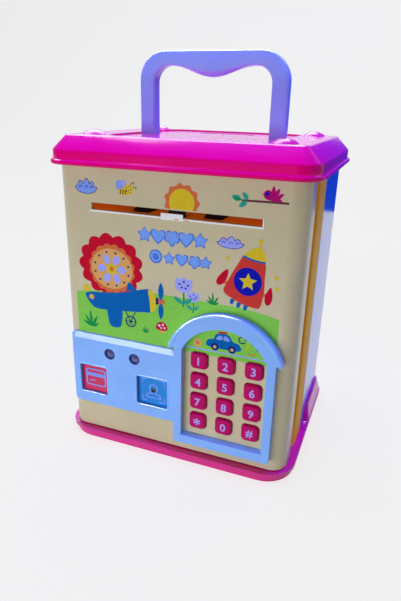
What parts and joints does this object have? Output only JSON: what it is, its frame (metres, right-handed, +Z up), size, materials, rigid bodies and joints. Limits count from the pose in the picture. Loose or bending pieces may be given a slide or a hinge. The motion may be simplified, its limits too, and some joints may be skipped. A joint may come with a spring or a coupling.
{
  "type": "toy safe coin bank",
  "caption": "Toy safe coin bank: box with a hinged front door, keypad under an arch, motor-fed note slot, sloped lid with a carrying handle and a tray base.",
  "frame": {"origin": "centre of the footprint on the surface the bank stands on", "axes": "+Z up, -Y out of the front door, +X to the right of someone who faces the door"},
  "size_m": [0.138, 0.113, 0.2108],
  "materials": {
    "pink_gloss": "gloss",
    "cream_plastic": "satin gloss",
    "blue_plastic": "satin gloss",
    "lilac_plastic": "gloss",
    "key_plastic": "satin",
    "card_pad_red": "satin",
    "face_pad_teal": "satin",
    "dark_lens": "gloss",
    "led_lens": "gloss",
    "board_green": "matte",
    "silicone": "matte",
    "chip_black": "matte",
    "screw_steel": "satin",
    "battery_skin": "satin",
    "contact_metal": "bright",
    "speaker_black": "matte",
    "nylon_white": "satin",
    "roller_rubber": "matte",
    "motor_can": "satin",
    "guide_amber": "satin"
  },
  "bodies": {
    "casing": {"base_tray": "pink_gloss", "front_frame": "guide_amber", "rear_shell": "blue_plastic", "lid": "pink_gloss", "handle": "lilac_plastic", "screw_caps": "pink_gloss", "lid_screws": "screw_steel", "base_screws": "screw_steel"},
    "door": {"door_panel": "cream_plastic", "console": "blue_plastic", "card_pad": "card_pad_red", "face_pad": "face_pad_teal", "face_sensor": "dark_lens", "status_leds": "led_lens", "sensor_board": "board_green", "key_mat": "silicone", "circuit_board": "board_green", "board_parts": "chip_black", "board_screws": "screw_steel", "console_screws": "screw_steel", "inner_cover": "cream_plastic", "cover_screws": "screw_steel", "battery_cover": "cream_plastic", "battery_screw": "screw_steel", "battery_cells": "battery_skin", "battery_contacts": "contact_metal", "battery_springs": "contact_metal", "speaker_frame": "speaker_black", "speaker_cone": "speaker_black", "note_guide": "guide_amber", "guide_screws": "screw_steel", "feed_motor": "motor_can", "latch_motor": "motor_can"},
    "key_1": {"key_1": "key_plastic"},
    "key_2": {"key_2": "key_plastic"},
    "key_3": {"key_3": "key_plastic"},
    "key_4": {"key_4": "key_plastic"},
    "key_5": {"key_5": "key_plastic"},
    "key_6": {"key_6": "key_plastic"},
    "key_7": {"key_7": "key_plastic"},
    "key_8": {"key_8": "key_plastic"},
    "key_9": {"key_9": "key_plastic"},
    "key_star": {"key_star": "key_plastic"},
    "key_0": {"key_0": "key_plastic"},
    "key_hash": {"key_hash": "key_plastic"},
    "feed_roller": {"roller_shaft": "screw_steel", "feed_rollers": "roller_rubber", "feed_gear": "nylon_white"},
    "feed_pinion": {"feed_pinion": "nylon_white"},
    "pinch_roller": {"pinch_shaft": "screw_steel", "pinch_rollers": "roller_rubber"},
    "note_lever": {"note_lever": "nylon_white"},
    "latch_bolt": {"latch_bolt": "nylon_white"},
    "latch_pinion": {"latch_pinion": "nylon_white"}
  },
  "joints": [
    {"name": "door_hinge", "type": "hinge", "parent": "casing", "child": "door", "pos_m": [-0.058, -0.0355, 0.08], "axis": [0, 0, -1], "range_deg": [0, 95]},
    {"name": "key_1_press", "type": "slide", "parent": "door", "child": "key_1", "axis": [0, 1, 0], "range_m": [0, 0.0012], "stiffness_N_per_m": 700, "springref_m": -0.0005},
    {"name": "key_2_press", "type": "slide", "parent": "door", "child": "key_2", "axis": [0, 1, 0], "range_m": [0, 0.0012], "stiffness_N_per_m": 700, "springref_m": -0.0005},
    {"name": "key_3_press", "type": "slide", "parent": "door", "child": "key_3", "axis": [0, 1, 0], "range_m": [0, 0.0012], "stiffness_N_per_m": 700, "springref_m": -0.0005},
    {"name": "key_4_press", "type": "slide", "parent": "door", "child": "key_4", "axis": [0, 1, 0], "range_m": [0, 0.0012], "stiffness_N_per_m": 700, "springref_m": -0.0005},
    {"name": "key_5_press", "type": "slide", "parent": "door", "child": "key_5", "axis": [0, 1, 0], "range_m": [0, 0.0012], "stiffness_N_per_m": 700, "springref_m": -0.0005},
    {"name": "key_6_press", "type": "slide", "parent": "door", "child": "key_6", "axis": [0, 1, 0], "range_m": [0, 0.0012], "stiffness_N_per_m": 700, "springref_m": -0.0005},
    {"name": "key_7_press", "type": "slide", "parent": "door", "child": "key_7", "axis": [0, 1, 0], "range_m": [0, 0.0012], "stiffness_N_per_m": 700, "springref_m": -0.0005},
    {"name": "key_8_press", "type": "slide", "parent": "door", "child": "key_8", "axis": [0, 1, 0], "range_m": [0, 0.0012], "stiffness_N_per_m": 700, "springref_m": -0.0005},
    {"name": "key_9_press", "type": "slide", "parent": "door", "child": "key_9", "axis": [0, 1, 0], "range_m": [0, 0.0012], "stiffness_N_per_m": 700, "springref_m": -0.0005},
    {"name": "key_star_press", "type": "slide", "parent": "door", "child": "key_star", "axis": [0, 1, 0], "range_m": [0, 0.0012], "stiffness_N_per_m": 700, "springref_m": -0.0005},
    {"name": "key_0_press", "type": "slide", "parent": "door", "child": "key_0", "axis": [0, 1, 0], "range_m": [0, 0.0012], "stiffness_N_per_m": 700, "springref_m": -0.0005},
    {"name": "key_hash_press", "type": "slide", "parent": "door", "child": "key_hash", "axis": [0, 1, 0], "range_m": [0, 0.0012], "stiffness_N_per_m": 700, "springref_m": -0.0005},
    {"name": "feed_roller_spin", "type": "hinge", "parent": "door", "child": "feed_roller", "pos_m": [0, -0.0395, 0.13028], "axis": [1, 0, 0], "continuous": true},
    {"name": "feed_pinion_spin", "type": "hinge", "parent": "door", "child": "feed_pinion", "pos_m": [0.05, -0.0395, 0.12068], "axis": [1, 0, 0], "continuous": true},
    {"name": "pinch_roller_spin", "type": "hinge", "parent": "door", "child": "pinch_roller", "pos_m": [0, -0.0395, 0.14072], "axis": [1, 0, 0], "continuous": true},
    {"name": "note_lever_swing", "type": "hinge", "parent": "door", "child": "note_lever", "pos_m": [0, -0.0455, 0.1295], "axis": [-1, 0, 0], "range_deg": [0, 35], "stiffness_Nm_per_rad": 0.002, "springref_deg": -17.19},
    {"name": "latch_bolt_slide", "type": "slide", "parent": "door", "child": "latch_bolt", "axis": [1, 0, 0], "range_m": [0, 0.006]},
    {"name": "latch_pinion_spin", "type": "hinge", "parent": "door", "child": "latch_pinion", "pos_m": [0.038, -0.0292, 0.094], "axis": [0, 0, -1], "range_deg": [0, 86]}
  ],
  "couplings": [
    {"joint": "feed_pinion_spin", "follows": "feed_roller_spin", "ratio": -2.2},
    {"joint": "pinch_roller_spin", "follows": "feed_roller_spin", "ratio": -1.4878},
    {"joint": "latch_pinion_spin", "follows": "latch_bolt_slide", "rad_per_m": 250}
  ]
}
